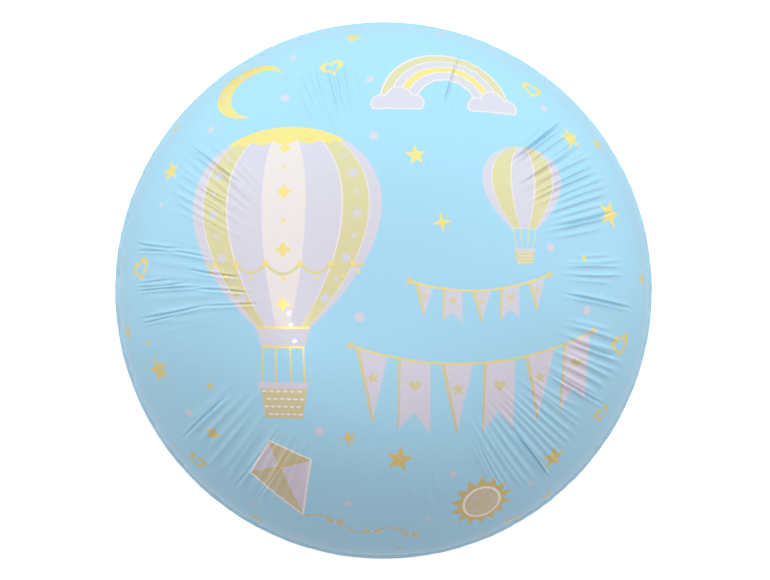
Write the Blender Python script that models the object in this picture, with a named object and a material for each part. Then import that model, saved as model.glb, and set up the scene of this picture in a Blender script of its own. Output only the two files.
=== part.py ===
"""A round foil balloon, filled and lying on its back, face up.

Two discs of metallised film are welded round their edge and filled until tight. The film can't
stretch, so the filled shape follows the curve that keeps every line from the middle to the rim at
its flat length, and the spare film gathers in puckers along the weld. The welded margin leans back,
and the filling tail is folded behind the lower edge.

Metres, +Z up. The origin is the middle of the flat spot on the back, where the balloon rests.
The top of the print points to +Y, and the filling tail is on the -Y side.
"""

import math

import bmesh
import bpy
import numpy as np
from mathutils import Vector

# The film discs as cut, before filling
FLAT_DIAMETER = 0.457
WELD_WIDTH = 0.005
WELD_THICKNESS = 0.0006

# How the weld lies once the balloon is full
WELD_REACH = 0.0025
SEAM_WAVE = 0.0011
SEAM_WAVE_FADE = 0.020

# Puckers that gather the spare film beside the weld
PUCKER_COUNT = 32
PUCKER_DEPTH = 0.0009
PUCKER_START = 0.004
PUCKER_LENGTH = 0.055

# Fans of creases, where the puckers run further in: middle and half width, in degrees from +X
FAN_LENGTH = 0.045
FANS = (
    (31, 15),
    (2, 7),
    (-19, 9),
    (-45, 14),
    (-78, 4),
    (-129, 16),
    (179, 12),
    (148, 10),
    (105, 8),
    (70, 5),
)

# The flat spot on the back
REST_RADIUS = 0.045

# The filling tail, folded behind the lower edge
TAIL_WIDTH = 0.028
TAIL_LENGTH = 0.052
TAIL_STRAIGHT = 0.022
TAIL_THICKNESS = 0.0009
TAIL_GAP = 0.0013
TAIL_CORNER = 0.004
TAIL_BENDS = 5
# The tail leaves the weld at this share of its width, and follows the film from this far below it
TAIL_LEAVES_WELD = 0.6
TAIL_START = 0.006
TAIL_OVERLAP = 0.0002
# The weld lies straight behind the tail, and its waves come back over this length beside it
CALM_FADE = 0.014

# How finely the round forms are divided
SEGMENTS_PER_PUCKER = 4
FRONT_RINGS = 16
BACK_RINGS = 14
RING_CROWDING = 1.35
CURVE_STEPS = 400

TAIL_ANGLE = -math.pi / 2
SKY_BLUE = (0.36, 0.63, 0.80, 1.0)


def clear_scene():
    for old in list(bpy.data.objects):
        bpy.data.objects.remove(old, do_unlink=True)


def unit_film_curve():
    """The filled film from the middle to the rim, for a rim radius of 1.

    Returns the length along the film, the distance from the axis, the drop below the middle and the
    slope angle, as equal rows.
    """
    root = np.linspace(0.0, math.sqrt(math.pi / 2), CURVE_STEPS)
    slope = root**2
    out = np.sqrt(np.sin(slope))
    along_rate = np.ones_like(root)
    along_rate[1:] = root[1:] / out[1:]
    drop_rate = root * out
    step = root[1] - root[0]
    along = np.concatenate([[0.0], np.cumsum((along_rate[1:] + along_rate[:-1]) / 2) * step])
    drop = np.concatenate([[0.0], np.cumsum((drop_rate[1:] + drop_rate[:-1]) / 2) * step])
    return along, out, drop, slope


class FilledFilm:
    """Where a point of the film lies once the balloon is full."""

    def __init__(self):
        along, out, drop, slope = unit_film_curve()
        self.rim_along = FLAT_DIAMETER / 2 - WELD_WIDTH
        self.rim_radius = self.rim_along / along[-1]
        self.along = along * self.rim_radius
        self.out = out * self.rim_radius
        self.drop = drop * self.rim_radius
        self.slope = slope
        self.half_depth = self.drop[-1]
        self.rest_along = float(np.interp(REST_RADIUS, self.out, self.along))
        self.seam_height = self.half_depth - float(np.interp(REST_RADIUS, self.out, self.drop))

    def place(self, along):
        """Distance from the axis, height over the seam on the front film, and slope angle."""
        out = float(np.interp(along, self.along, self.out))
        height = self.half_depth - float(np.interp(along, self.along, self.drop))
        return out, height, float(np.interp(along, self.along, self.slope))


def fan_share(angle):
    """1 in the middle of a fan of creases, falling to 0 at its sides."""
    degrees = math.degrees(angle)
    share = 0.0
    for middle, half_width in FANS:
        off = abs((degrees - middle + 180.0) % 360.0 - 180.0) / half_width
        if off < 1.0:
            share = max(share, math.cos(math.pi / 2 * off) ** 2)
    return share


def calm_share(film, angle):
    """0 beside the tail, where the film lies straight, rising to 1 away from it."""
    turned = math.remainder(angle - TAIL_ANGLE, 2 * math.pi)
    share = (abs(turned) * film.rim_radius - TAIL_WIDTH / 2) / CALM_FADE
    share = min(max(share, 0.0), 1.0)
    return share * share * (3 - 2 * share)


def pucker(film, from_seam, angle):
    """How far a pucker lifts the film off its smooth shape, at a distance from the weld."""
    share = (from_seam - PUCKER_START) / (PUCKER_LENGTH + FAN_LENGTH * fan_share(angle))
    if not 0.0 < share < 1.0:
        return 0.0
    swell = math.sin(math.pi * math.sqrt(share)) ** 2
    return PUCKER_DEPTH * swell * math.cos(PUCKER_COUNT * angle) * calm_share(film, angle)


def seam_wave(film, from_seam, angle):
    """How far the weld and the film beside it wander up and down."""
    depth = SEAM_WAVE * calm_share(film, angle)
    return depth * math.exp(-from_seam / SEAM_WAVE_FADE) * math.sin(PUCKER_COUNT * angle)


def film_point(film, along, angle, side):
    """A point of the front film (side 1) or the back film (side -1)."""
    out, height, slope = film.place(along)
    from_seam = film.rim_along - along
    lift = pucker(film, from_seam, angle)
    out += lift * math.sin(slope)
    height += lift * math.cos(slope)
    z = film.seam_height + side * height + seam_wave(film, from_seam, angle)
    return Vector((out * math.cos(angle), out * math.sin(angle), z))


def weld_directions():
    """Which way the weld runs and which way its outer face looks, each as (out, up)."""
    out = WELD_REACH / WELD_WIDTH
    down = math.sqrt(1.0 - out**2)
    return (out, -down), (down, out)


def weld_point(film, share, side, angle):
    """A point on one face of the welded margin, from its root (share 0) to its free edge (share 1)."""
    runs, looks = weld_directions()
    half = WELD_THICKNESS / 2
    if share == 0.0:
        out = film.rim_radius
        height = side * half / looks[1]
    else:
        out = film.rim_radius + share * WELD_WIDTH * runs[0] + side * half * looks[0]
        height = share * WELD_WIDTH * runs[1] + side * half * looks[1]
    z = film.seam_height + height + seam_wave(film, 0.0, angle)
    return Vector((out * math.cos(angle), out * math.sin(angle), z))


def ring_steps(count, start, stop):
    """Lengths along the film for its rings, closer together towards the rim."""
    shares = [1.0 - (1.0 - k / count) ** RING_CROWDING for k in range(count + 1)]
    return [start + (stop - start) * share for share in shares]


def bridge(mesh, upper, lower):
    count = len(upper)
    for k in range(count):
        after = (k + 1) % count
        mesh.faces.new((upper[k], lower[k], lower[after], upper[after]))


def envelope_mesh(film):
    """The filled body with its welded margin, as one closed skin."""
    segments = PUCKER_COUNT * SEGMENTS_PER_PUCKER
    angles = [2 * math.pi * k / segments for k in range(segments)]
    weld_root = WELD_THICKNESS / 2 / weld_directions()[1][1]
    last_along = film.rim_along - weld_root
    mesh = bmesh.new()

    rings = []
    for along in ring_steps(FRONT_RINGS, 0.0, last_along)[1:-1]:
        rings.append([mesh.verts.new(film_point(film, along, a, 1)) for a in angles])
    for share, side in ((0.0, 1), (1.0, 1), (1.0, -1), (0.0, -1)):
        rings.append([mesh.verts.new(weld_point(film, share, side, a)) for a in angles])
    for along in reversed(ring_steps(BACK_RINGS, film.rest_along, last_along)[1:-1]):
        rings.append([mesh.verts.new(film_point(film, along, a, -1)) for a in angles])
    rest_ring = [
        mesh.verts.new((REST_RADIUS * math.cos(a), REST_RADIUS * math.sin(a), 0.0)) for a in angles
    ]
    rings.append(rest_ring)

    middle = mesh.verts.new((0.0, 0.0, film.seam_height + film.half_depth))
    for k in range(segments):
        mesh.faces.new((middle, rings[0][k], rings[0][(k + 1) % segments]))
    for upper, lower in zip(rings, rings[1:]):
        bridge(mesh, upper, lower)
    mesh.faces.new(list(reversed(rest_ring)))
    bmesh.ops.recalc_face_normals(mesh, faces=mesh.faces)
    return mesh


def tail_line(film):
    """The middle of the tail's thickness, from the weld's root down to its free end.

    Each entry is a distance from the axis, a height and the direction that the outer face looks in.
    """
    line = []
    runs, looks = weld_directions()
    behind = WELD_THICKNESS / 2 + TAIL_THICKNESS / 2 - TAIL_OVERLAP
    for share in (0.0, TAIL_LEAVES_WELD):
        out = film.rim_radius + share * WELD_WIDTH * runs[0] - behind * looks[0]
        z = film.seam_height + share * WELD_WIDTH * runs[1] - behind * looks[1]
        line.append((out, z, looks))
    stand_off = TAIL_GAP + TAIL_THICKNESS / 2
    follow = TAIL_LENGTH - TAIL_STRAIGHT - TAIL_START
    for k in range(TAIL_BENDS + 1):
        out, height, slope = film.place(film.rim_along - TAIL_START - follow * k / TAIL_BENDS)
        looks = (math.sin(slope), -math.cos(slope))
        line.append((out + stand_off * looks[0], film.seam_height - height + stand_off * looks[1], looks))
    out, z, looks = line[-1]
    line.append((out + TAIL_STRAIGHT * looks[1], z - TAIL_STRAIGHT * looks[0], looks))
    return line


def tail_mesh(film):
    """The flat filling tail as a bent strip, with two rounded corners at its free end."""
    half_width = TAIL_WIDTH / 2
    half_thick = TAIL_THICKNESS / 2
    rows = []
    mesh = bmesh.new()
    for out, z, looks in tail_line(film):
        row = []
        for x, side in ((-half_width, 1), (half_width, 1), (half_width, -1), (-half_width, -1)):
            y = -(out + side * half_thick * looks[0])
            row.append(mesh.verts.new((x, y, z + side * half_thick * looks[1])))
        rows.append(row)
    for upper, lower in zip(rows, rows[1:]):
        bridge(mesh, upper, lower)
    mesh.faces.new(rows[0])
    mesh.faces.new(list(reversed(rows[-1])))
    bmesh.ops.recalc_face_normals(mesh, faces=mesh.faces)
    end = rows[-1]
    corners = [mesh.edges.get((end[0], end[3])), mesh.edges.get((end[1], end[2]))]
    bmesh.ops.bevel(mesh, geom=corners, offset=TAIL_CORNER, segments=4, profile=0.5, affect="EDGES")
    return mesh


def object_from(mesh, name):
    data = bpy.data.meshes.new(name)
    mesh.to_mesh(data)
    mesh.free()
    made = bpy.data.objects.new(name, data)
    bpy.context.scene.collection.objects.link(made)
    return made


def sky_blue_film():
    material = bpy.data.materials.new("sky_blue_film")
    material.use_nodes = True
    shader = material.node_tree.nodes["Principled BSDF"]
    shader.inputs["Base Color"].default_value = SKY_BLUE
    shader.inputs["Roughness"].default_value = 0.35
    shader.inputs["Metallic"].default_value = 0.4
    return material


def build():
    clear_scene()
    film = FilledFilm()
    balloon = object_from(envelope_mesh(film), "foil_balloon")
    balloon.data.shade_smooth()
    balloon.data.set_sharp_from_angle(angle=math.radians(50))
    balloon.data.materials.append(sky_blue_film())

    tail = object_from(tail_mesh(film), "filling_tail_guide")
    tail.hide_render = True
    tail.display_type = "WIRE"
    join = balloon.modifiers.new("join_tail", "BOOLEAN")
    join.operation = "UNION"
    join.solver = "EXACT"
    join.object = tail


build()
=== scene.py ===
"""The looks of a round foil balloon that lies on its back, face up.

Run as a script in Blender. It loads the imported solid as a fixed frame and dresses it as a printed
front film, a plain back film, the welded margin and the filling tail, on a pale floor in soft light.

Metres, +Z up. The middle of the flat spot on the back is the origin, and the top of the print
points to +Y. The print is drawn in millimetres on the flat film, before filling.
"""

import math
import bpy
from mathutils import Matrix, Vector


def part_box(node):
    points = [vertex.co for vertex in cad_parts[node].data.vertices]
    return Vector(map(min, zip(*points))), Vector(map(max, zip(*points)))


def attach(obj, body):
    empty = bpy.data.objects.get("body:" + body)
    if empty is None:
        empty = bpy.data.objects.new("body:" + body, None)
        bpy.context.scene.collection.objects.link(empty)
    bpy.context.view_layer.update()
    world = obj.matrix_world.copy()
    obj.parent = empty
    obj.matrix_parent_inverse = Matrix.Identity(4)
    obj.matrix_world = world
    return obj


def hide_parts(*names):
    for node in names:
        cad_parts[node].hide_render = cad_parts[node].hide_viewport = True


bl_info = {
    "name": "Foil balloon",
    "version": (1, 0, 0),
    "blender": (4, 5, 0),
    "location": "3D View > Sidebar > Foil balloon",
    "description": "Builds a filled foil balloon with a printed front film",
    "category": "Add Mesh",
}

import bpy
import numpy as np
from mathutils import Vector
from mathutils.geometry import delaunay_2d_cdt
from mathutils.kdtree import KDTree

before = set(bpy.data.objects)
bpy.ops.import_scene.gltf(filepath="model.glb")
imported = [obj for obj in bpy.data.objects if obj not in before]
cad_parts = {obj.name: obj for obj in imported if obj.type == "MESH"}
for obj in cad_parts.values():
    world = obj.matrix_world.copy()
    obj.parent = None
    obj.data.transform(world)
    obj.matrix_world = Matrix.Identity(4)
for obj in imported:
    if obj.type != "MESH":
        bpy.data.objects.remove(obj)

NODE = "foil_balloon"
BODY = "root"
TOP_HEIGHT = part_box(NODE)[1].z
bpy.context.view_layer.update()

MM = 0.001
TURN = 2 * math.pi

# How finely the film's curve is worked out, how many points go round the rim, and the small step
# along the film from which its direction is taken
CURVE_STEPS = 3000
RIM_COUNT = 1080
NORMAL_STEP = 0.15 * MM

# How far the weld's free edge ripples to either side
WELD_RIPPLE = 0.06 * MM

# The tail's place and section: two films welded along both sides, with a flat valve between them
TAIL_ANGLE = -math.pi / 2
TAIL_CORNER = 4 * MM
TAIL_BEHIND_WELD = 0.55 * MM
TAIL_STAND_OFF = 0.65 * MM
TAIL_FILM = 0.10 * MM
TAIL_PILLOW = 0.30 * MM
TAIL_SIDE_WELD = 0.80
VALVE_EDGE = 0.38
VALVE_RIDGE = 0.09 * MM
TAIL_WAVE = 0.12 * MM
CALM_FADE = 14 * MM

# Outline of the filled balloon in the photograph, in its pixels
PHOTO_WIDTH = 770
PHOTO_HEIGHT = 580
PHOTO_RADIUS = 268.5
PHOTO_CENTRE_X = 383.5
PHOTO_CENTRE_Y = 290.5

# Beside the weld: share of the puckers' depth and of the crimps' depth, and how far the crimps reach
FRONT_PLEATS = (0.2, 0.55, 12 * MM)
BACK_PLEATS = (0.8, 1.0, 24 * MM)

# Broad soft waves of each film: how many go round, their turn in radians and height in millimetres
FRONT_BULGES = ((5, 0.4, 0.45), (7, 2.1, 0.30), (11, 0.9, 0.16))
BACK_BULGES = ((4, 1.0, 0.5), (9, 0.3, 0.3), (13, 2.2, 0.15))

# Seeds and count of what is placed by chance
FRONT_SEED = 7
BACK_SEED = 19
DOT_SEED = 21
DOT_COUNT = 26

# Fans of flutes on the front film. Each has its middle and half width in degrees from +X, how many
# flutes it holds, its inner and outer ends and the height of the point it aims at, all three as
# shares of the outline's radius, and how high its flutes stand in millimetres
FRONT_FANS = (
    (31, 15, 17, 0.55, 0.93, 0.08, 1.12),
    (5.5, 3.6, 5, 0.62, 0.91, 0.08, 0.80),
    (-19, 9, 9, 0.62, 0.93, 0.06, 0.94),
    (-46, 15, 16, 0.50, 0.92, 0.05, 0.66),
    (-78, 4, 3, 0.66, 0.86, 0.00, 0.50),
    (-129, 17, 13, 0.56, 0.93, 0.14, 0.60),
    (179, 12, 9, 0.46, 0.92, 0.00, 0.24),
    (148, 11, 11, 0.50, 0.90, -0.09, 0.52),
    (105, 8, 8, 0.55, 0.90, 0.00, 1.60),
    (70, 6, 5, 0.60, 0.92, 0.00, 1.20),
)

# Sharp single creases on the front film: angle and share of the radius at the inner end, the same at
# the outer end, depth and width in millimetres
FRONT_CREASES = (
    (45.6, 0.62, 43.2, 0.92, 1.00, 1.0),
    (37.7, 0.60, 35.7, 0.87, 0.60, 0.9),
    (20.6, 0.64, 18.8, 0.90, 0.60, 0.9),
    (-1.0, 0.63, -4.4, 0.92, 1.00, 1.0),
    (-26.5, 0.66, -27.5, 0.91, 0.90, 1.0),
    (-15.0, 0.68, -16.0, 0.88, 0.60, 1.0),
    (-47.2, 0.67, -48.7, 0.93, 1.10, 0.7),
    (-58.0, 0.62, -59.0, 0.86, 0.60, 1.0),
    (-127.0, 0.60, -127.0, 0.92, 0.70, 1.0),
    (-120.2, 0.64, -121.0, 0.89, 0.55, 0.9),
    (-146.0, 0.66, -143.5, 0.92, 0.75, 1.0),
    (168.2, 0.73, 169.3, 0.94, 0.60, 0.9),
    (169.6, 0.77, 171.1, 0.93, 0.50, 0.9),
    (177.0, 0.76, 178.5, 0.90, 0.50, 0.7),
    (177.6, 0.70, 179.4, 0.91, 0.65, 0.8),
    (178.9, 0.64, 180.4, 0.92, 0.68, 0.8),
    (184.6, 0.62, 186.7, 0.90, 0.70, 0.9),
    (186.8, 0.74, 188.0, 0.89, 0.50, 0.8),
    (169.5, 0.62, 169.6, 0.79, 0.50, 0.9),
    (174.6, 0.50, 173.8, 0.71, 0.55, 0.9),
    (181.4, 0.46, 179.6, 0.68, 0.55, 0.9),
    (186.2, 0.43, 184.9, 0.66, 0.38, 0.9),
    (143.2, 0.61, 143.1, 0.89, 0.95, 1.0),
    (144.6, 0.68, 144.0, 0.87, 0.60, 0.8),
    (149.8, 0.62, 150.0, 0.76, 0.45, 0.8),
    (154.0, 0.62, 153.0, 0.74, 0.40, 0.8),
    (107.0, 0.64, 106.5, 0.90, 0.60, 1.0),
    (71.5, 0.66, 72.0, 0.94, 0.70, 1.0),
)


def linear(hex_colour):
    """A colour given as sRGB hex digits, as the linear values that shaders use."""
    shares = [int(hex_colour[k : k + 2], 16) / 255 for k in (0, 2, 4)]
    return tuple(s / 12.92 if s <= 0.04045 else ((s + 0.055) / 1.055) ** 2.4 for s in shares)


def smooth_step(share):
    """0 to 1 along a soft S, for shares from 0 to 1 and level beyond them."""
    share = np.clip(share, 0.0, 1.0)
    return share * share * (3 - 2 * share)


def running_total(steps):
    """Sums of the steps so far, from 0."""
    return np.concatenate([[0.0], np.cumsum(steps)])


def around(angles, radius=1.0):
    """Points at those angles and that distance from the middle, as rows of (x, y)."""
    return np.column_stack((radius * np.cos(angles), radius * np.sin(angles)))


def polar(angle, radius, centre=(0.0, 0.0)):
    return centre[0] + radius * math.cos(angle), centre[1] + radius * math.sin(angle)


def turned(points, angle):
    """Rows of (x, y), turned about the middle."""
    spin = ((math.cos(angle), math.sin(angle)), (-math.sin(angle), math.cos(angle)))
    return points @ np.array(spin)


def length_property(name, description, metres):
    return bpy.props.FloatProperty(name=name, description=description, default=metres, unit="LENGTH")


def ink_property(name, description, hex_colour):
    colour = linear(hex_colour)
    return bpy.props.FloatVectorProperty(name=name, description=description, default=colour, subtype="COLOR")


class FoilBalloonSizes(bpy.types.PropertyGroup):
    flat_diameter: length_property("Flat diameter", "Width of each film disc before filling", 0.457)
    weld_width: length_property("Weld width", "Welded margin from seam to free edge", 0.005)
    weld_reach: length_property("Weld reach", "How far the weld stands out sideways", 0.0025)
    weld_thickness: length_property("Weld thickness", "Both films and the melted layer between", 0.0003)
    seam_wave: length_property("Seam wave", "How far the weld wanders up and down", 0.0011)
    pucker_count: bpy.props.IntProperty(
        name="Puckers", description="Large puckers round the weld", default=32, min=8
    )
    pucker_depth: length_property("Pucker depth", "Height of the large puckers", 0.0009)
    crimp_depth: length_property("Crimp depth", "Height of the fine crimps beside the weld", 0.0005)
    tail_width: length_property("Tail width", "Width of the filling tail", 0.028)
    tail_length: length_property("Tail length", "Filling tail from the seam to its end", 0.052)
    tail_straight: length_property("Tail's straight end", "Part of the tail that lies flat", 0.022)
    crease_height: bpy.props.FloatProperty(
        name="Crease height", description="Share of the creases' full height", default=1.0, min=0.0, max=2.0
    )


class FoilBalloonInks(bpy.types.PropertyGroup):
    sky_blue: ink_property("Sky blue", "Ground of the print and back film", "9CCDE7")
    pearl: ink_property("Pearl", "Lilac white of the large shapes", "CAC9D9")
    warm_white: ink_property("Warm white", "Edges and small dots", "DED8DB")
    pale_gold: ink_property("Pale gold", "Broad gold areas", "C3BE8B")
    deep_gold: ink_property("Deep gold", "Gold lines, the stars and the moon", "DACB78")


class FilledFilm:
    """Where each point of a flat film disc lies once the balloon is filled tight.

    The film can't stretch, so every line from the middle to the rim keeps its flat length.
    """

    def __init__(self, sizes):
        self.sizes = sizes
        root = np.linspace(0.0, math.sqrt(math.pi / 2), CURVE_STEPS)
        slope = root**2
        out = np.sqrt(np.sin(slope))
        along_rate = np.ones_like(root)
        along_rate[1:] = root[1:] / out[1:]
        drop_rate = root * out
        step = root[1] - root[0]
        along = running_total((along_rate[1:] + along_rate[:-1]) / 2) * step
        drop = running_total((drop_rate[1:] + drop_rate[:-1]) / 2) * step
        self.rim_along = sizes.flat_diameter / 2 - sizes.weld_width
        self.rim_radius = self.rim_along / along[-1]
        self.along = along * self.rim_radius
        self.out = out * self.rim_radius
        self.drop = drop * self.rim_radius
        self.slope = slope
        self.half_depth = self.drop[-1]
        self.seam_height = TOP_HEIGHT - self.half_depth
        self.outline = self.rim_radius + sizes.weld_reach

    def place(self, along):
        """Distance from the axis, height over the seam and slope angle."""
        out = np.interp(along, self.along, self.out)
        height = self.half_depth - np.interp(along, self.along, self.drop)
        return out, height, np.interp(along, self.along, self.slope)


class Fold:
    """One flute or crease: a line on the filled film, seen from above, and its cross section."""

    def __init__(self, start, end, height, width, sharp, bow=0.0):
        self.start = np.array(start)
        self.run = np.array(end) - self.start
        self.length = float(np.hypot(*self.run))
        self.side = np.array((-self.run[1], self.run[0])) / self.length
        self.height = height
        self.width = width
        self.sharp = sharp
        self.bow = bow

    def lift(self, plan):
        """Height of the fold over the smooth film at points seen from above."""
        lift = np.zeros(len(plan))
        offset = plan - self.start
        share = offset @ self.run / self.length**2
        across = offset @ self.side - self.bow * np.sin(math.pi * share)
        near = (share > 0) & (share < 1) & (np.abs(across) < 5 * self.width)
        share = share[near]
        across = across[near] / self.width

        # A sharp crease is a groove between two low ridges, and a flute is one soft ridge
        if self.sharp:
            ends = smooth_step(share / 0.35) * smooth_step((1 - share) / 0.25)
            form = 0.5 * np.exp(-((np.abs(across) - 1.6) ** 2)) - 0.7 * np.exp(-(across**2) / 0.45)
        else:
            ends = smooth_step(share / 0.5) * smooth_step((1 - share) / 0.22)
            form = np.exp(-(across**2))
        lift[near] = self.height * ends * form
        return lift

    def spread(self):
        """Points along the fold and beside it, seen from above."""
        count = max(4, round(self.length / ((1.1 if self.sharp else 1.6) * MM)))
        reach = (3.0, 2.3, 1.8, 1.3, 0.85, 0.4) if self.sharp else (1.5, 0.9, 0.45)
        offsets = [0.0] + [side * r * self.width for r in reach for side in (1, -1)]
        share = ((np.arange(count) + 0.5) / count)[:, None]
        middle = self.start + share * self.run + self.bow * np.sin(math.pi * share) * self.side
        return np.vstack([middle + off * self.side for off in offsets])


def fan_folds(film, fans, seed):
    """The flutes of each fan, a little uneven, all aimed at a point near the middle."""
    chance = np.random.default_rng(seed)
    strength = film.sizes.crease_height
    folds = []
    for middle, half, count, inner, outer, aim, height in fans:
        target = np.array((0.0, aim * film.outline))
        spacing = math.radians(2 * half / max(count - 1, 1))
        for k in range(count):
            off = 2 * k / max(count - 1, 1) - 1
            angle = math.radians(middle + half * off) + spacing * 0.08 * chance.standard_normal()
            outer_share = outer - 0.06 * off**2 - 0.03 * chance.random()
            reach = (outer - inner) * (0.78 + 0.22 * chance.random()) * (1 - 0.3 * off**2)
            end = np.array(polar(angle, outer_share * film.outline))
            start = end + (target - end) * reach / outer_share
            rise = height * MM * (1 - 0.45 * abs(off) ** 3) * (0.75 + 0.4 * chance.random()) * strength

            # A flute takes about a quarter of the fan's spacing at 0.80 of the outline's radius
            width = 0.27 * spacing * 0.80 * film.outline * (0.9 + 0.2 * chance.random())
            bow = 0.9 * MM * chance.standard_normal()
            folds.append(Fold(start, end, rise, min(width, 1.9 * MM), False, bow))
    return folds


def crease_folds(film, creases):
    folds = []
    for k, (inner_angle, inner, outer_angle, outer, depth, width) in enumerate(creases):
        start = polar(math.radians(inner_angle), inner * film.outline)
        end = polar(math.radians(outer_angle), outer * film.outline)
        bow = 0.8 * MM * math.sin(2.4 * k)
        folds.append(Fold(start, end, depth * MM * film.sizes.crease_height, width * MM, True, bow))
    return folds


def calm_share(film, angle):
    """0 beside the tail, where the film lies straight, rising to 1 away from it."""
    away = np.abs(np.remainder(angle - TAIL_ANGLE + math.pi, TURN) - math.pi)
    return smooth_step((away * film.rim_radius - film.sizes.tail_width / 2) / CALM_FADE)


def seam_shift(film, angle):
    """How far the weld line lies above or below its own plane."""
    slow = np.sin(film.sizes.pucker_count * angle)
    fine = 0.16 * np.sin(97 * angle + 1.3 * np.sin(5 * angle)) + 0.10 * np.sin(141 * angle + 2.0)
    return film.sizes.seam_wave * (slow * 0.8 + fine) * calm_share(film, angle)


def seam_lift(film, from_seam, angle, puckers, crimps, crimp_reach):
    """Puckers and fine crimps that gather the spare film beside the weld."""
    sizes = film.sizes
    share = np.clip((from_seam - 3 * MM) / (34 * MM), 0.0, 1.0)
    large = np.sin(math.pi * share**0.6) ** 2 * np.cos(sizes.pucker_count * angle)
    near = np.clip((from_seam - 0.8 * MM) / crimp_reach, 0.0, 1.0)
    wander = angle + 0.02 * np.sin(7 * angle) + 0.012 * np.sin(11 * angle + 1.0)
    fine = np.sin(math.pi * near**0.55) ** 2 * (np.cos(97 * wander) + 0.6 * np.cos(139 * wander + 0.7))
    lift = sizes.pucker_depth * puckers * large + sizes.crimp_depth * crimps * fine
    return lift * calm_share(film, angle)


class FilmSkin:
    """One film of the filled balloon, with its folds. Side 1 is the front and side -1 the back."""

    def __init__(self, film, side, folds, bulges):
        self.film = film
        self.side = side
        self.folds = folds
        self.bulges = bulges

    def bulge(self, from_seam, angle):
        """Broad soft waves between the fans, in which the film swells a little."""
        fade = smooth_step(from_seam / (30 * MM)) * smooth_step((150 * MM - from_seam) / (110 * MM))
        wave = sum(depth * np.cos(count * angle + turn) for count, turn, depth in self.bulges)
        return MM * fade * wave

    def points(self, flat):
        """Where points of the flat film lie, from rows of (x, y) to rows of (x, y, z)."""
        along = np.minimum(np.hypot(flat[:, 0], flat[:, 1]), self.film.rim_along)
        angle = np.arctan2(flat[:, 1], flat[:, 0])
        out, height, slope = self.film.place(along)
        plan = around(angle, out)
        from_seam = self.film.rim_along - along
        pleats = FRONT_PLEATS if self.side > 0 else BACK_PLEATS
        lift = seam_lift(self.film, from_seam, angle, *pleats) + self.bulge(from_seam, angle)
        for fold in self.folds:
            lift += fold.lift(plan)
        shift = seam_shift(self.film, angle) * np.exp(-from_seam / (16 * MM))
        out = out + lift * np.sin(slope)
        z = self.film.seam_height + self.side * (height + lift * np.cos(slope)) + shift
        if self.side < 0:
            soft = 0.4 * MM
            z = (z + np.sqrt(z * z + soft * soft)) / 2 - soft / 2 * smooth_step(1 - z / (4 * MM))
            z = np.maximum(z, 0.0)
        return np.column_stack((around(angle, out), z))

    def normals(self, flat):
        """Directions that the film faces, outwards, by small steps along it."""
        step_x = np.array((NORMAL_STEP, 0.0))
        step_y = np.array((0.0, NORMAL_STEP))
        along_x = self.points(flat + step_x) - self.points(flat - step_x)
        along_y = self.points(flat + step_y) - self.points(flat - step_y)
        normal = self.side * np.cross(along_x, along_y)
        return normal / np.linalg.norm(normal, axis=1)[:, None]


# The print, drawn in millimetres on the flat film
def ring(centre, radius, count=None, turn=0.0, squash=1.0):
    count = count or max(12, round(TURN * radius / 1.3))
    return around(turn + TURN * np.arange(count) / count, radius) * (1.0, squash) + centre


def divide(corners, longest=1.3, closed=True):
    """A straight-sided outline with its sides cut into short steps."""
    corners = [np.array(c, float) for c in corners]
    points = []
    for a, b in zip(corners, corners[1:] + corners[:1] if closed else corners[1:]):
        steps = max(1, math.ceil(np.hypot(*(b - a)) / longest))
        points += [a + (b - a) * k / steps for k in range(steps)]
    return np.array(points if closed else points + [corners[-1]])


def star(centre, radius, turn=0.0, waist=0.42, arms=5):
    corners = []
    for k in range(2 * arms):
        reach = radius if k % 2 == 0 else radius * waist
        corners.append(polar(turn + math.pi / 2 + math.pi * k / arms, reach, centre))
    return divide(corners)


def heart(centre, radius, turn=0.0):
    """A heart whose lobes point up before it is turned."""
    t = TURN * np.arange(40) / 40
    x = 16 * np.sin(t) ** 3
    y = 13 * np.cos(t) - 5 * np.cos(2 * t) - 2 * np.cos(3 * t) - np.cos(4 * t) + 2
    return turned(np.column_stack((x, y)) * radius / 16, turn) + centre


def stroke(line, width):
    """A line of even width along points, as an outline."""
    line = np.array(line, float)
    run = np.gradient(line, axis=0)
    run /= np.hypot(run[:, 0], run[:, 1])[:, None]
    side = np.column_stack((-run[:, 1], run[:, 0])) * width / 2
    return np.vstack((line + side, (line - side)[::-1]))


def swag(left, right, sag, count=60):
    """A hanging curve between two points."""
    share = np.linspace(0.0, 1.0, count)
    x = left[0] + (right[0] - left[0]) * share
    y = left[1] + (right[1] - left[1]) * share - 4 * sag * share * (1 - share)
    return np.column_stack((x, y))


def bumpy_outline(centre, circles, count=110):
    """The outline of several circles together, seen from a point inside them."""
    points = []
    for k in range(count):
        look = np.array(polar(TURN * k / count, 1.0))
        reach = 0.0
        for x, y, radius in circles:
            near = look @ (x, y)
            gap = radius**2 - (x * x + y * y - near**2)
            if gap > 0:
                reach = max(reach, near + math.sqrt(gap))
        points.append(np.array(centre) + look * reach)
    return np.array(points)


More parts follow.
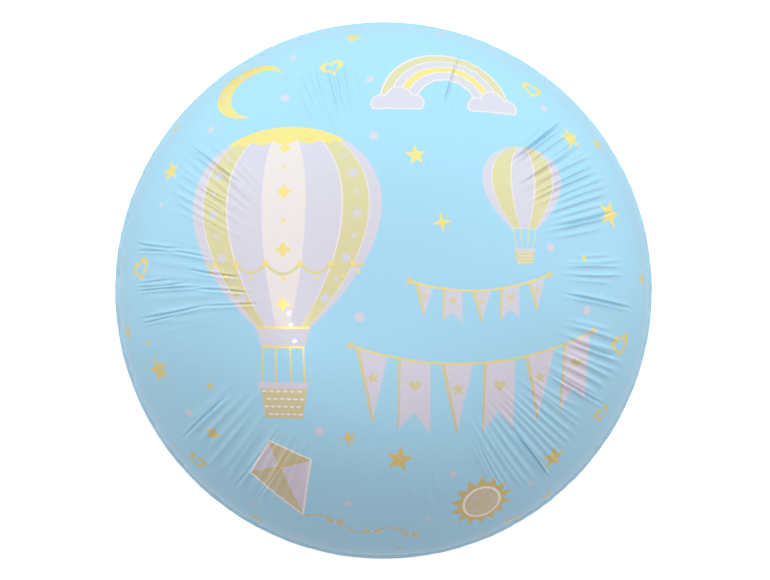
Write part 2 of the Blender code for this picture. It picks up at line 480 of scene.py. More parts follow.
class Print:
    """Outlines on the film in the order they are printed, each with its ink."""

    def __init__(self):
        self.shapes = []

    def add(self, ink, outline):
        """Prints an outline, which is turned to run anticlockwise first."""
        outline = np.array(outline, float)
        after = np.roll(outline, -1, axis=0)
        if np.sum(outline[:, 0] * after[:, 1] - outline[:, 1] * after[:, 0]) < 0:
            outline = outline[::-1]
        self.shapes.append((ink, outline))

    def dot(self, ink, centre, radius):
        self.add(ink, ring(centre, radius))

    def line(self, ink, corners, width, step=2.0):
        self.add(ink, stroke(divide(corners, step, closed=False), width))

    def outline_heart(self, centre, radius, turn):
        self.add("deep_gold", heart(centre, radius, turn))
        self.add("sky_blue", heart(centre, radius * 0.60, turn))

    def sparkle(self, centre, radius, turn):
        """Four long points with a small dot to either side."""
        self.add("deep_gold", star(centre, radius, turn, 0.30, arms=4))
        for side in (-1, 1):
            self.dot("pale_gold", polar(turn + side * math.pi / 4, radius * 0.72, centre), radius * 0.13)

    def puffs(self, centre, width):
        """A small round-topped heap with a pale edge and a flat foot."""
        heaps = ((-0.30, 0.02, 0.20), (0.02, 0.14, 0.26), (0.31, 0.04, 0.19))
        foot = centre[1] - 0.10 * width
        for ink, inset in (("warm_white", 0.0), ("pearl", 0.030)):
            circles = [(x * width, y * width, (r - inset) * width) for x, y, r in heaps]
            outline = bumpy_outline(centre, circles, 64)
            outline[:, 1] = np.maximum(outline[:, 1], foot + inset * width)
            self.add(ink, outline)

    def pennant(self, left, right, depth, notched):
        """A hanging flag with a gold left edge."""
        left, right = np.array(left), np.array(right)
        middle = (left + right) / 2
        tip = middle - (0.0, depth)
        if notched:
            corners = (left, left - (0, depth), middle - (0, depth * 0.72), right - (0, depth), right)
            edge = (left, left - (0, depth), left + (1.0, -depth * 0.955), left + (2.1, 0.0))
        else:
            corners = (left, tip, right)
            edge = (left, tip, tip + (1.1, 2.4), left + (2.6, 0.0))
        self.add("pearl", divide(corners))
        self.add("pale_gold", divide(edge))

    def bunting(self, left, right, sag, count, width, depth):
        """Flags on a hanging string."""
        line = swag(left, right, sag)
        travelled = running_total(np.hypot(*np.diff(line, axis=0).T))
        pitch = travelled[-1] / count
        for k in range(count):
            ends = [(k + 0.5) * pitch - width / 2, (k + 0.5) * pitch + width / 2]
            x = np.interp(ends, travelled, line[:, 0])
            y = np.interp(ends, travelled, line[:, 1])
            self.pennant((x[0], y[0]), (x[1], y[1]), depth, k % 2 == 1)
            middle = ((x[0] + x[1]) / 2 + 0.6, (y[0] + y[1]) / 2 - depth * 0.36)
            if k % 2:
                self.add("pale_gold", heart(middle, width * 0.19, 0.0))
            else:
                self.add("pale_gold", star(middle, width * 0.20, 0.15, 0.45))
        self.add("deep_gold", stroke(line, 1.3))
        for end in (left, right):
            self.dot("pale_gold", end, 2.3)


class AirBalloon:
    """A small hot-air balloon picture: striped envelope, ropes and basket."""

    def __init__(self, centre, half_width, half_height):
        self.centre = centre
        self.half_width = half_width
        self.half_height = half_height

    def edge(self, turn, lean):
        """A point on the envelope: turn runs from the mouth to the crown, lean from side to side."""
        half = self.half_width * math.sin(turn) * math.sin(turn / 2) ** 0.8
        return (
            self.centre[0] + half * math.sin(lean),
            self.centre[1] - self.half_height * math.cos(turn),
        )

    def gore(self, left, right, low, high):
        """The part of the envelope between two lines from mouth to crown."""
        count = max(6, round(self.half_height * (high - low) / 1.3))
        turns = np.linspace(low, high, count)
        up = [self.edge(t, left) for t in turns]
        down = [self.edge(t, right) for t in turns[::-1]]
        across = max(2, round(abs(right - left) * self.half_width * 0.5))
        leans = np.linspace(left, right, across + 1)[1:-1]
        top = [self.edge(high, lean) for lean in leans] if high < math.pi - 0.01 else []
        bottom = [self.edge(low, lean) for lean in leans[::-1]]
        down = down if high < math.pi - 0.01 else down[1:]
        return np.array(up + top + down + bottom)

    def print_gores(self, art, leans, inks, mouth, insets):
        """Gores in their inks, a little apart, so that the pale ground shows as seams."""
        side, low, high = insets
        art.add("warm_white", self.gore(leans[0], leans[-1], mouth, math.pi))
        for left, right, ink in zip(leans, leans[1:], inks):
            art.add(ink, self.gore(left + side, right - side, mouth + low, math.pi - high))


def draw_large_air_balloon(art):
    picture = AirBalloon((-62.0, 34.0), 76.0, 70.0)
    mouth = 0.62
    leans = [math.radians(a) for a in (-90, -61, -37, -12.5, 12.5, 37, 61, 90)]
    inks = ("pearl", "pale_gold", "pearl", "warm_white", "pearl", "pale_gold", "pearl")
    picture.print_gores(art, leans, inks, mouth, (0.012, 0.01, 0.03))

    # Small stars and dots on the gold gores
    for side in (-1, 1):
        lean = side * math.radians(49)
        for k, turn in enumerate(np.linspace(0.98, 2.36, 8)):
            spot = picture.edge(turn, lean)
            if k % 2:
                art.dot("pearl", spot, 1.5)
            else:
                art.add("pearl", star(spot, 4.3, 0.3 * k, 0.44))

    # A chain of lozenges down the middle gore
    for k, turn in enumerate(np.linspace(0.92, 2.5, 7)):
        spot = picture.edge(turn, 0.0)
        size = 2.9 + 1.5 * math.sin(turn)
        if k % 2:
            art.dot("deep_gold", spot, 1.3)
        else:
            art.add("deep_gold", star(spot, size * 1.25, 0.0, 0.5, arms=4))

    # Swags that hang from seam to seam under the widest part
    for left, right in zip(leans, leans[1:]):
        a, b = picture.edge(1.32, left), picture.edge(1.32, right)
        drop = 0.30 * math.hypot(b[0] - a[0], b[1] - a[1])
        line = swag(a, b, drop, 20)
        art.add("pale_gold", stroke(line, 2.0))
        art.dot("deep_gold", line[10] - (0, 3.4), 1.25)
    for lean in leans[1:-1]:
        art.dot("deep_gold", picture.edge(1.32, lean), 2.0)

    # The crown's cap, with a scalloped hem
    hem = 2.62
    for left, right in zip(leans, leans[1:]):
        a, b = picture.edge(hem, left), picture.edge(hem, right)
        art.add("deep_gold", np.vstack((swag(a, b, 2.6, 9), divide((b, a), 2.0, closed=False)[1:-1])))
    art.add("deep_gold", picture.gore(leans[0], leans[-1], hem, math.pi))

    # Mouth, ropes and basket
    mouth_left, mouth_right = picture.edge(mouth, leans[0]), picture.edge(mouth, leans[-1])
    mouth_y, half_mouth = mouth_left[1], (mouth_right[0] - mouth_left[0]) / 2
    x = picture.centre[0]
    skirt = (
        (x - half_mouth, mouth_y),
        (x - half_mouth + 3.5, mouth_y - 12),
        (x + half_mouth - 3.5, mouth_y - 12),
        (x + half_mouth, mouth_y),
    )
    art.add("pearl", divide(skirt))
    art.line("deep_gold", (skirt[0], skirt[3]), 1.5)
    art.line("deep_gold", (skirt[1], skirt[2]), 1.5)
    draw_basket(art, (x, mouth_y - 36.0), 15.0, 21.0, mouth_y - 12.0, half_mouth - 4.5)


def draw_basket(art, top, half_width, depth, ropes_from, rope_spread):
    """A woven basket that hangs on four ropes."""
    x, y = top
    for share in (-1.0, -0.36, 0.36, 1.0):
        rope = ((x + share * rope_spread, ropes_from), (x + share * (half_width - 1.6), y))
        art.line("deep_gold", rope, 0.075 * half_width, 2.5)
    foot = half_width * 0.80
    body = ((x - half_width, y), (x - foot, y - depth), (x + foot, y - depth), (x + half_width, y))
    art.add("pale_gold", divide(body))
    rows, count = 4, 6
    for row in range(rows):
        level = y - depth * (row + 0.75) / (rows + 0.3)
        half = half_width - (half_width - foot) * (y - level) / depth
        for k in range(count):
            middle = x - half + 2 * half * (k + 0.5 + 0.5 * (row % 2)) / (count + 0.5)
            weave = ring((middle, level), half / count * 0.72, count=12, squash=0.42)
            art.add("warm_white", weave)
    rim = stroke(((x - half_width - 0.8, y), (x, y), (x + half_width + 0.8, y)), depth * 0.19)
    art.add("pearl", divide(rim))


def draw_small_air_balloon(art):
    picture = AirBalloon((88.0, 62.0), 33.0, 30.0)
    mouth = 0.66
    leans = [math.radians(a) for a in (-90, -50, -17, 17, 50, 90)]
    inks = ("pearl", "pale_gold", "pearl", "pale_gold", "pearl")
    picture.print_gores(art, leans, inks, mouth, (0.02, 0.02, 0.05))
    low_left, low_right = picture.edge(mouth, leans[0]), picture.edge(mouth, leans[-1])
    half_mouth = (low_right[0] - low_left[0]) / 2
    draw_basket(art, (picture.centre[0], low_left[1] - 13.0), 6.4, 9.0, low_left[1], half_mouth - 0.6)


def draw_moon(art, centre, radius):
    """A crescent: the outer arc of one circle, and back along the inner arc of another."""
    open_angle = math.radians(52)
    outer = np.linspace(open_angle, TURN - open_angle, 56)
    tip = np.array(polar(open_angle, radius))
    hollow = np.array((radius * 0.36, 0.0))
    inner_radius = float(np.hypot(*(tip - hollow)))
    inner_open = math.atan2(tip[1], tip[0] - hollow[0])
    inner = np.linspace(TURN - inner_open, inner_open, 44)[1:-1]
    arc = np.vstack((around(outer, radius), around(inner, inner_radius) + hollow))
    turn = math.radians(-28)
    art.add("deep_gold", turned(arc, turn) + centre)
    for angle, size in ((118, 1.3), (150, 2.9), (183, 1.5), (214, 2.6), (246, 1.2)):
        spot = polar(math.radians(angle) + turn, radius * 0.80, centre)
        if size > 2:
            art.add("pearl", star(spot, size, angle, 0.45))
        else:
            art.dot("pearl", spot, size)


def draw_rainbow(art, centre, radius):
    """Arched bands with a heap of puffs at each foot."""
    bands = (
        ("warm_white", 1.00, 0.44),
        ("pale_gold", 0.97, 0.85),
        ("pearl", 0.83, 0.73),
        ("deep_gold", 0.71, 0.61),
        ("pearl", 0.59, 0.47),
    )
    for ink, outer, inner in bands:
        count = max(16, round(math.pi * radius * outer / 1.4))
        arc = around(np.linspace(0.0, math.pi, count))
        art.add(ink, np.vstack((arc * radius * outer, arc[::-1] * radius * inner)) + centre)
    for foot in (-0.72 * radius, 0.72 * radius):
        art.puffs((centre[0] + foot, centre[1]), 0.80 * radius)


def draw_kite(art, centre, half_width, turn):
    """A kite of four panels with a wavy tail and three bows."""

    def place(points):
        return turned(np.array(points, float) * half_width, turn) + centre

    top, left, foot, right = (0, 1.0), (-1.0, 0.12), (0, -1.75), (1.0, 0.12)
    art.add("warm_white", divide(place([(0, 1.08), (-1.08, 0.12), (0, -1.88), (1.08, 0.12)])))
    sides = ((top, left), (left, foot), (foot, right), (right, top))
    for ink, side in zip(("pearl", "pale_gold", "pearl", "pale_gold"), sides):
        art.add(ink, divide(place([(0, 0.12), *side])))
    art.line("deep_gold", place([top, foot]), 1.1)
    art.line("deep_gold", place([left, right]), 1.1)
    reach = np.linspace(0.0, 1.0, 48)
    foot_x, foot_y = place([(0, -1.88)])[0]
    tail = np.column_stack((foot_x + 78 * reach, foot_y - 16 * reach + 5 * np.sin(10 * reach)))
    art.add("deep_gold", stroke(tail, 1.1))
    for share in (0.28, 0.60, 0.94):
        knot = tail[round(share * 47)]
        for side in (-1, 1):
            wing = np.array(((0.0, 0.0), (side * 5.2, 3.6), (side * 6.0, -3.0)))
            art.add("pale_gold", divide(wing + knot))
        art.dot("pearl", knot, 1.3)


def draw_sun(art, centre, radius):
    art.add("deep_gold", star(centre, radius, 0.1, 0.70, arms=14))
    art.dot("warm_white", centre, radius * 0.62)
    art.dot("pale_gold", centre, radius * 0.54)
    for k in range(8):
        art.dot("pearl", polar(TURN * k / 8, radius * 0.36, centre), 1.0)


SOLID_STARS = (
    (128, 104, 9.5, 0.3),
    (154, 52, 11.0, -0.25),
    (-146, 82, 8.5, 0.2),
    (-152, -54, 10.0, 0.4),
    (10, -106, 9.5, -0.2),
    (116, -114, 10.0, 0.15),
    (-112, -94, 6.5, -0.4),
    (20, 84, 7.0, 0.1),
    (-22, 182, 7.5, 0.5),
)
OUTLINE_HEARTS = (
    (-34, 148, 8.0, 0.3),
    (104, 140, 8.0, -0.25),
    (162, -38, 9.0, 0.15),
    (-168, 14, 9.0, 0.35),
    (98, -176, 7.5, -0.2),
    (154, -88, 7.5, 0.3),
    (-132, -122, 7.5, -0.3),
)
SPARKLES = (
    (158, 108, 7.5),
    (190, 8, 7.0),
    (-188, -30, 7.5),
    (-96, -172, 6.5),
    (126, -158, 7.0),
    (36, 42, 6.5),
    (-158, 124, 7.0),
    (76, -188, 6.5),
    (-22, -92, 6.0),
)


def distance_from(taken):
    """A function that gives how far a point lies from the nearest of those taken."""
    tree = KDTree(len(taken))
    for k, (x, y) in enumerate(taken):
        tree.insert((x, y, 0.0), k)
    tree.balance()
    return lambda x, y: tree.find((x, y, 0.0))[2]


def scatter_dots(art, count, seed):
    """Small pale dots, kept clear of what is already printed."""
    chance = np.random.default_rng(seed)
    distance = distance_from(np.vstack([outline for _, outline in art.shapes]))
    placed = []
    while len(placed) < count:
        x, y = polar(TURN * chance.random(), 200 * math.sqrt(chance.random()))
        inside = math.hypot(x + 62, y - 34) < 62 or math.hypot(x - 88, y - 64) < 28
        crowded = any(math.hypot(x - a, y - b) < 24 for a, b in placed)
        if inside or crowded or distance(x, y) < 9:
            continue
        placed.append((x, y))
        art.dot("pearl" if chance.random() < 0.8 else "deep_gold", (x, y), 1.7 + 1.3 * chance.random())


def draw_print():
    """The whole picture, from the ground up."""
    art = Print()
    draw_rainbow(art, (40.0, 118.0), 43.0)
    draw_moon(art, (-92.0, 138.0), 25.0)
    draw_kite(art, (-66.0, -116.0), 21.0, 0.30)
    draw_sun(art, (66.0, -142.0), 22.0)
    draw_large_air_balloon(art)
    draw_small_air_balloon(art)
    art.bunting((16.0, 6.0), (104.0, 10.0), 8.0, 5, 12.5, 20.0)
    art.bunting((-20.0, -34.0), (136.0, -26.0), 15.0, 6, 20.5, 45.0)
    for x, y, radius, turn in SOLID_STARS:
        art.add("deep_gold", star((x, y), radius, turn, 0.40))
    for x, y, radius, turn in OUTLINE_HEARTS:
        art.outline_heart((x, y), radius, turn)
    for x, y, radius in SPARKLES:
        art.sparkle((x, y), radius, 0.15)
    scatter_dots(art, DOT_COUNT, DOT_SEED)
    return art


def clear_of(taken, points, gap):
    """The points, in millimetres, that lie further than a gap from all that are taken."""
    distance = distance_from(taken)
    return points[np.array([distance(x, y) > gap for x, y in points])]


def film_grid(film, folds):
    """Points spread evenly over the flat film, in millimetres, with closer rows along the folds."""
    points = None
    for fold in sorted(folds, key=lambda fold: not fold.sharp):
        plan = fold.spread()
        out = np.hypot(plan[:, 0], plan[:, 1])
        rows = plan * (np.interp(out, film.out, film.along) / out)[:, None] / MM
        points = rows if points is None else np.vstack((points, clear_of(points, rows, 0.45)))
    spread = [(0.0, 0.0)]
    for along in np.arange(2.4, film.rim_along / MM - 0.8, 2.1):
        count = round(TURN * along / 2.5)
        turn = 0.5 * (round(along) % 2)
        spread += [polar(TURN * (k + turn) / count, along) for k in range(count)]
    return np.vstack((points, clear_of(points, np.array(spread), 1.0)))


def outline_marks(outlines):
    """Points along outlines, close enough to test how near something is."""
    marks = []
    for outline in outlines:
        after = np.roll(outline, -1, axis=0)
        marks += [outline * (1 - share) + after * share for share in (0.0, 0.25, 0.5, 0.75)]
    return np.vstack(marks)


def printed_triangles(film, art, folds):
    """The flat film cut into triangles along the edges of the inks.

    Returns the points in metres, the triangles and the name of each triangle's ink.
    """
    rim = film.rim_along / MM
    border = ring((0.0, 0.0), rim, count=820)
    outlines = [outline for _, outline in art.shapes]
    grid = clear_of(outline_marks(outlines), film_grid(film, folds), 0.35)
    corners = [border, *outlines, grid]
    starts = np.cumsum([0] + [len(c) for c in corners])
    points = [Vector(p) for p in np.vstack(corners)]
    edges = [(k, (k + 1) % len(border)) for k in range(len(border))]
    faces = [list(range(starts[k + 1], starts[k + 2])) for k in range(len(outlines))]
    found = delaunay_2d_cdt(points, edges, faces, 0, 0.01, True)
    flat, triangles, over = found[0], found[2], found[5]
    inks = [art.shapes[max(shapes)][0] if shapes else "sky_blue" for shapes in over]
    return np.array([tuple(p) for p in flat]) * MM, triangles, inks


def set_inputs(node, values):
    for socket, value in values.items():
        node.inputs[socket].default_value = value


def add_node(tree, kind, values=None, links=None, **settings):
    """Adds a shader node with its settings, its inputs' values and its links."""
    made = tree.nodes.new(kind)
    for name, value in settings.items():
        setattr(made, name, value)
    set_inputs(made, values or {})
    for socket, source in (links or {}).items():
        tree.links.new(source, made.inputs[socket])
    return made


def film_material(name, colour, metallic, roughness, milk, gloss):
    """Metallised nylon film with a printed ink, under a thin clear layer.

    The metal behind the ink gives a soft satin shine, the clear layer gives crisp small glints, and
    the film's own fine cockle breaks both up. The nylon is a little milky over the metal, which
    lays an even white over the ink's own colour.
    """
    material = bpy.data.materials.new(name)
    material.use_nodes = True
    tree = material.node_tree
    shader = tree.nodes["Principled BSDF"]
    set_inputs(shader, {"Metallic": metallic, "Specular IOR Level": 0.15})
    set_inputs(shader, {"Sheen Weight": milk, "Sheen Roughness": 0.9})
    set_inputs(shader, {"Coat Weight": gloss, "Coat Roughness": 0.04})

    # The ink colours the metal's shine at low angles too, where bare metal would turn white
    set_inputs(shader, {"Specular Tint": (*(0.8 * c / (0.53 * c + 0.47) for c in colour), 1.0)})
    on_film = {"Vector": add_node(tree, "ShaderNodeTexCoord").outputs["Object"]}

    # Ink lies a little unevenly, in patches some 3 mm across and in finer grain
    patch_grain = {"Scale": 1 / (3.2 * MM), "Detail": 4.0, "Roughness": 0.65}
    patches = add_node(tree, "ShaderNodeTexNoise", patch_grain, on_film)
    thin = (*(c * 0.965 for c in colour), 1.0)
    thick = (*(min(1.0, c * 1.035) for c in colour), 1.0)
    ends = {"Color1": thin, "Color2": thick}
    tint = add_node(tree, "ShaderNodeMixRGB", ends, {"Fac": patches.outputs["Fac"]})
    tree.links.new(tint.outputs["Color"], shader.inputs["Base Color"])
    material.diffuse_color = (*colour, 1.0)

    # The shine varies slowly over the film, in areas of some 40 mm
    areas = add_node(tree, "ShaderNodeTexNoise", {"Scale": 1 / (40 * MM), "Detail": 2.0}, on_film)
    reach = {"To Min": roughness - 0.035, "To Max": roughness + 0.035}
    shine = add_node(tree, "ShaderNodeMapRange", reach, {"Value": areas.outputs["Fac"]})
    tree.links.new(shine.outputs["Result"], shader.inputs["Roughness"])

    # Cockle of the film, some 7 mm across, and its grain, drawn coarser than the real one to show
    waves = {"Scale": 1 / (7 * MM), "Detail": 2.5, "Roughness": 0.5}
    cockle = add_node(tree, "ShaderNodeTexNoise", waves, on_film)
    grain = add_node(tree, "ShaderNodeTexNoise", {"Scale": 1 / (0.7 * MM), "Detail": 2.0}, on_film)
    low = {"Strength": 0.10, "Distance": 0.04 * MM}
    rough = add_node(tree, "ShaderNodeBump", low, {"Height": grain.outputs["Fac"]})
    heights = {"Height": cockle.outputs["Fac"], "Normal": rough.outputs["Normal"]}
    bump = add_node(tree, "ShaderNodeBump", {"Strength": 0.30, "Distance": 0.10 * MM}, heights)
    tree.links.new(bump.outputs["Normal"], shader.inputs["Normal"])
    return material


# Metallic share, roughness, milkiness and weight of the clear layer of each ink: transparent inks show
# the metal, opaque white hides most of it
INK_FINISHES = {
    "sky_blue": (0.50, 0.33, 0.07, 0.11),
    "pearl": (0.52, 0.35, 0.0, 0.30),
    "warm_white": (0.35, 0.38, 0.0, 0.30),
    "pale_gold": (1.0, 0.26, 0.45, 0.11),
    "deep_gold": (1.0, 0.24, 0.22, 0.11),
}


def ink_materials(inks):
    """The film's finish under each named ink, made once and shared by the pieces."""
    made = []
    for ink in inks:
        name = ink + "_on_metallised_film"
        colour = tuple(getattr(bpy.context.scene.foil_balloon_inks, ink))
        made.append(bpy.data.materials.get(name) or film_material(name, colour, *INK_FINISHES[ink]))
    return made


def piece_from(name, points, faces, normals, materials, face_materials=None):
    """A mesh piece that stands for the solid and rides on its body."""
    data = bpy.data.meshes.new(name)
    data.from_pydata([tuple(p) for p in points], [], faces)
    for material in materials:
        data.materials.append(material)
    if face_materials is not None:
        data.polygons.foreach_set("material_index", face_materials)
    data.update()
    data.shade_smooth()
    if normals is not None:
        data.normals_split_custom_set_from_vertices([tuple(n) for n in normals])
    piece = bpy.data.objects.new(name, data)
    bpy.context.scene.collection.objects.link(piece)
    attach(piece, BODY)
    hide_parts(NODE)
    return piece


def ring_faces(rings, count, closed=False):
    """Quads between rings of points, each ring having the same count. Closed joins last and first."""
    faces = []
    for row in range(rings if closed else rings - 1):
        a, b = row * count, (row + 1) % rings * count
        for k in range(count):
            after = (k + 1) % count
            faces.append((a + k, a + after, b + after, b + k))
    return faces


class FOIL_OT_front_film(bpy.types.Operator):
    """Makes the printed front film with its creases"""

    bl_idname = "foil_balloon.front_film"
    bl_label = "Front film"

    def execute(self, context):
        film = FilledFilm(context.scene.foil_balloon_sizes)
        folds = fan_folds(film, FRONT_FANS, FRONT_SEED) + crease_folds(film, FRONT_CREASES)
        flat, triangles, inks = printed_triangles(film, draw_print(), folds)
        skin = FilmSkin(film, 1, folds, FRONT_BULGES)
        names = ["sky_blue", "pearl", "warm_white", "pale_gold", "deep_gold"]
        index = [names.index(ink) for ink in inks]
        piece = piece_from(
            "front_film", skin.points(flat), triangles, skin.normals(flat), ink_materials(names), index
        )
        return {"FINISHED"}


BACK_FANS = (
    (12, 12, 9, 0.55, 0.93, 0.0, 0.30),
    (48, 9, 7, 0.60, 0.92, 0.0, 0.26),
    (84, 13, 10, 0.50, 0.93, 0.0, 0.30),
    (126, 10, 8, 0.58, 0.92, 0.0, 0.28),
    (163, 12, 9, 0.52, 0.93, 0.0, 0.30),
    (-162, 8, 6, 0.62, 0.90, 0.0, 0.24),
    (-128, 13, 10, 0.55, 0.92, 0.0, 0.30),
    (-62, 8, 6, 0.60, 0.92, 0.0, 0.26),
    (-28, 13, 10, 0.52, 0.93, 0.0, 0.30),
)


def back_skin(film):
    return FilmSkin(film, -1, fan_folds(film, BACK_FANS, BACK_SEED), BACK_BULGES)


class FOIL_OT_back_film(bpy.types.Operator):
    """Makes the plain back film with its creases and the flat spot it rests on"""

    bl_idname = "foil_balloon.back_film"
    bl_label = "Back film"

    def execute(self, context):
        film = FilledFilm(context.scene.foil_balloon_sizes)
        skin = back_skin(film)
        belly = np.linspace(4 * MM, 84 * MM, 18)
        side = np.linspace(87 * MM, 194 * MM, 30)
        edge = np.linspace(196 * MM, film.rim_along, 15)
        alongs = np.concatenate((belly, side, edge))
        angles = TURN * np.arange(RIM_COUNT) / RIM_COUNT
        flat = np.vstack([around(angles, along) for along in alongs] + [np.zeros((1, 2))])
        faces = ring_faces(len(alongs), RIM_COUNT)
        faces += [(len(flat) - 1, (k + 1) % RIM_COUNT, k) for k in range(RIM_COUNT)]
        blue = ink_materials(["sky_blue"])
        piece = piece_from("back_film", skin.points(flat), faces, skin.normals(flat), blue)
        return {"FINISHED"}


def on_weld(film, share, aside):
    """Distance from the axis and height of a point on the weld.

    Its share runs from the seam to the free edge, and aside is its distance to the outer side.
    """
    run = share * film.sizes.weld_width
    out = film.sizes.weld_reach / film.sizes.weld_width
    down = math.sqrt(1 - out**2)
    return film.rim_radius + run * out + aside * down, film.seam_height - run * down + aside * out


class FOIL_OT_weld(bpy.types.Operator):
    """Makes the welded margin, where both films are melted together"""

    bl_idname = "foil_balloon.weld"
    bl_label = "Welded margin"

    def execute(self, context):
        film = FilledFilm(context.scene.foil_balloon_sizes)
        angles = TURN * np.arange(RIM_COUNT) / RIM_COUNT
        ripple = np.sin(97 * angles + 0.6) + 0.6 * np.sin(151 * angles)
        ripple *= WELD_RIPPLE * calm_share(film, angles)
        half = film.sizes.weld_thickness / 2
        shares = (0.0, 0.25, 0.5, 0.8, 1.0)
        rows = []
        for side, row_shares in ((-1, shares), (1, shares[::-1])):
            for share in row_shares:
                out, z = on_weld(film, share, side * half + ripple * share)
                rows.append(np.column_stack((around(angles, out), z + seam_shift(film, angles))))
        faces = ring_faces(len(rows), RIM_COUNT, closed=True)
        piece = piece_from("weld_margin", np.vstack(rows), faces, None, ink_materials(["sky_blue"]))
        return {"FINISHED"}


def tail_path(film, skin):
    """The middle of the tail's thickness: distance from the axis, height and outward look."""
    sizes = film.sizes
    path = [on_weld(film, share, -TAIL_BEHIND_WELD) for share in (0.0, 0.6)]
    for from_seam in np.linspace(6 * MM, sizes.tail_length - sizes.tail_straight, 12):
        out, height, slope = (float(v) for v in film.place(film.rim_along - from_seam))
        stand_off = TAIL_STAND_OFF + skin.bulge(from_seam, TAIL_ANGLE)
        up = film.seam_height - height - stand_off * math.cos(slope)
        path.append((out + stand_off * math.sin(slope), up))
    run = (math.cos(slope), math.sin(slope))
    end = path[-1]
    for share in np.linspace(0.1, 1.0, 10):
        reach = sizes.tail_straight * share
        path.append((end[0] - reach * run[0], end[1] - reach * run[1]))
    path = np.array(path)
    run = np.gradient(path, axis=0)
    run /= np.hypot(run[:, 0], run[:, 1])[:, None]
    return path, np.column_stack((-run[:, 1], run[:, 0]))


class FOIL_OT_tail(bpy.types.Operator):
    """Makes the flat filling tail, folded behind the lower edge"""

    bl_idname = "foil_balloon.tail"
    bl_label = "Filling tail"

    def execute(self, context):
        film = FilledFilm(context.scene.foil_balloon_sizes)
        path, looks = tail_path(film, back_skin(film))

        # Rows along the tail, each with its place, its outward look and its half width
        travelled = running_total(np.hypot(*np.diff(path, axis=0).T))
        rows = 96
        reach = np.linspace(0.0, travelled[-1], rows)[:, None]
        out, up = (np.interp(reach, travelled, line) for line in path.T)
        look_out, look_up = (np.interp(reach, travelled, line) for line in looks.T)
        into_corner = np.maximum(TAIL_CORNER - (travelled[-1] - reach), 0)
        rounded = TAIL_CORNER - np.sqrt(TAIL_CORNER**2 - into_corner**2)
        half_width = film.sizes.tail_width / 2 - rounded

        # Points round the section: shares of the half width, first on the inner face, then the outer
        inner = np.cos(np.linspace(math.pi, 0.0, 81))
        share = np.concatenate((inner, inner[-2:0:-1]))
        count = len(share)
        face = np.where(np.arange(count) < len(inner), -1, 1)
        pillow = TAIL_PILLOW * np.sqrt(np.maximum(0, 1 - (share / TAIL_SIDE_WELD) ** 2))
        ridge = VALVE_RIDGE * np.exp(-(((np.abs(share) - VALVE_EDGE) / 0.045) ** 2))
        half = np.where(np.abs(share) > 0.999, 0.0, TAIL_FILM + pillow + ridge)

        # The tail waves a little, and hugs the round film behind it
        wave = TAIL_WAVE * smooth_step(reach / (8 * MM)) * np.sin(7 * share + 2.0 + reach / (11 * MM))
        x = share * half_width
        hug = x**2 / (2 * film.rim_radius) + 0.25 * MM * share**2
        lift = face * half + wave * (1 - share**2) - hug
        points = np.dstack((x, -(out + lift * look_out), up + lift * look_up)).reshape(-1, 3)
        faces = ring_faces(rows, count)
        faces.append(tuple(reversed(range(count))))
        faces.append(tuple(range((rows - 1) * count, rows * count)))
        piece = piece_from("filling_tail", points, faces, None, ink_materials(["sky_blue"]))
        piece.data.set_sharp_from_angle(angle=math.radians(60))
        return {"FINISHED"}


# The light tent: which way it is bright, how bright its two ends are and between which shares of
# that way, and the same for its tint, from a little pink to a little blue
TENT_BRIGHT_SIDE = (0.05, 1.0, 0.13)
TENT_LEVELS = {"From Min": -1.1, "From Max": 0.8, "To Min": 0.43, "To Max": 1.43}
TENT_TINT_SHARES = {"From Min": -0.85, "From Max": 0.85}
TENT_TINTS = {"Color1": (1.17, 1.0, 0.97, 1.0), "Color2": (0.95, 1.02, 0.985, 1.0)}

# Where the camera sees the small lamps mirrored, in millimetres, and how large and far off they are
GLINTS = ((-58.4, -14.2), (-56.8, -21.0), (-55.0, -31.2))
LAMP_SIZE = (0.02, 0.07)
LAMP_WATTS = 0.22
LAMP_DISTANCE = 2.5

CAMERA_HEIGHT = 2.2
SENSOR_WIDTH = 36.0
FLOOR_SIZE = 24.0
FLOOR_DROP = 0.0005


def glint_lamp(film, name, x, y):
    """A small lamp where the camera sees it mirrored in the smooth front film at (x, y)."""
    out = math.hypot(x, y)
    slope = math.asin((out / film.rim_radius) ** 2)
    look = Vector((math.sin(slope) * x / out, math.sin(slope) * y / out, math.cos(slope)))
    spot = Vector((x, y, film.seam_height + film.half_depth))
    to_camera = (Vector((0, 0, film.seam_height + CAMERA_HEIGHT)) - spot).normalized()
    mirrored = 2 * look.dot(to_camera) * look - to_camera
    data = bpy.data.lights.new(name, "AREA")
    data.shape = "ELLIPSE"
    data.size, data.size_y = LAMP_SIZE
    data.energy = LAMP_WATTS
    lamp = bpy.data.objects.new(name, data)
    lamp.location = spot + LAMP_DISTANCE * mirrored
    lamp.rotation_euler = (-mirrored).to_track_quat("-Z", "Y").to_euler()
    lamp.visible_camera = False
    bpy.context.scene.collection.objects.link(lamp)


def floor_material():
    """Opal acrylic sheet, lit from below as in a light table: an even pale ground."""
    material = bpy.data.materials.new("opal_acrylic_light_table")
    material.use_nodes = True
    shader = material.node_tree.nodes["Principled BSDF"]
    sheet = {"Base Color": (*linear("D8D8DA"), 1.0), "Roughness": 0.9, "Specular IOR Level": 0.1}
    glow = {"Emission Color": (1.0, 1.0, 1.0, 1.0), "Emission Strength": 0.50}
    set_inputs(shader, sheet | glow)
    return material


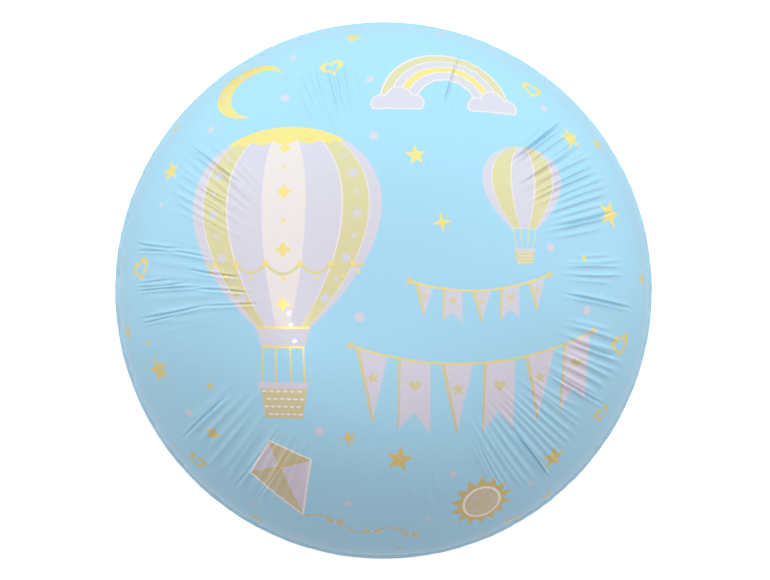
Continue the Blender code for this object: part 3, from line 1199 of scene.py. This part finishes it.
class FOIL_OT_stage(bpy.types.Operator):
    """Makes the floor, the lights and the camera"""

    bl_idname = "foil_balloon.stage"
    bl_label = "Stage"

    def execute(self, context):
        scene = context.scene
        film = FilledFilm(scene.foil_balloon_sizes)
        bpy.ops.mesh.primitive_plane_add(size=FLOOR_SIZE, location=(0, 0, -FLOOR_DROP))
        floor = context.object
        floor.name = "floor"
        floor.data.materials.append(floor_material())

        # The floor is left out of the film's reflections, which show the walls of the tent alone
        floor.visible_glossy = False

        # Three small bright lamps beside the camera leave crisp glints on the film
        for k, (x, y) in enumerate(GLINTS):
            glint_lamp(film, f"glint_lamp_{k}", x * MM, y * MM)

        # A light tent that is bright towards the top of the print and dim towards its foot
        world = bpy.data.worlds.new("light_tent")
        scene.world = world
        world.use_nodes = True
        tree = world.node_tree
        look = {0: add_node(tree, "ShaderNodeTexCoord").outputs["Generated"]}
        side = {1: TENT_BRIGHT_SIDE}
        toward = add_node(tree, "ShaderNodeVectorMath", side, look, operation="DOT_PRODUCT")
        value = {"Value": toward.outputs["Value"]}
        smooth = {"interpolation_type": "SMOOTHSTEP"}
        level = add_node(tree, "ShaderNodeMapRange", TENT_LEVELS, value, **smooth)
        share = add_node(tree, "ShaderNodeMapRange", TENT_TINT_SHARES, value)
        tint = add_node(tree, "ShaderNodeMixRGB", TENT_TINTS, {"Fac": share.outputs["Result"]})
        walls = tree.nodes["Background"]
        tree.links.new(tint.outputs["Color"], walls.inputs["Color"])
        tree.links.new(level.outputs["Result"], walls.inputs["Strength"])

        data = bpy.data.cameras.new("camera")
        data.sensor_width = SENSOR_WIDTH
        data.lens = SENSOR_WIDTH * CAMERA_HEIGHT * PHOTO_RADIUS / (PHOTO_WIDTH * film.outline)
        data.clip_end = 50.0
        camera = bpy.data.objects.new("camera", data)
        pixel = film.outline / PHOTO_RADIUS
        camera.location = (
            (PHOTO_WIDTH / 2 - PHOTO_CENTRE_X) * pixel,
            (PHOTO_CENTRE_Y - PHOTO_HEIGHT / 2) * pixel,
            film.seam_height + CAMERA_HEIGHT,
        )
        scene.collection.objects.link(camera)
        scene.camera = camera
        scene.view_settings.view_transform = "Standard"
        return {"FINISHED"}


class FOIL_PT_panel(bpy.types.Panel):
    """Sizes, inks and buttons of the foil balloon"""

    bl_idname = "FOIL_PT_panel"
    bl_label = "Foil balloon"
    bl_space_type = "VIEW_3D"
    bl_region_type = "UI"
    bl_category = "Foil balloon"

    def draw(self, context):
        for group in (context.scene.foil_balloon_sizes, context.scene.foil_balloon_inks):
            for name in group.__annotations__:
                self.layout.prop(group, name)
        for operator in OPERATORS:
            self.layout.operator(operator.bl_idname)


OPERATORS = (FOIL_OT_front_film, FOIL_OT_back_film, FOIL_OT_weld, FOIL_OT_tail, FOIL_OT_stage)
CLASSES = (FoilBalloonSizes, FoilBalloonInks, *OPERATORS, FOIL_PT_panel)


def register():
    for made in CLASSES:
        bpy.utils.register_class(made)
    bpy.types.Scene.foil_balloon_sizes = bpy.props.PointerProperty(type=FoilBalloonSizes)
    bpy.types.Scene.foil_balloon_inks = bpy.props.PointerProperty(type=FoilBalloonInks)


def unregister():
    del bpy.types.Scene.foil_balloon_inks
    del bpy.types.Scene.foil_balloon_sizes
    for made in reversed(CLASSES):
        bpy.utils.unregister_class(made)


def main():
    register()
    bpy.ops.foil_balloon.front_film()
    bpy.ops.foil_balloon.back_film()
    bpy.ops.foil_balloon.weld()
    bpy.ops.foil_balloon.tail()
    bpy.ops.foil_balloon.stage()


if __name__ == "__main__":
    main()
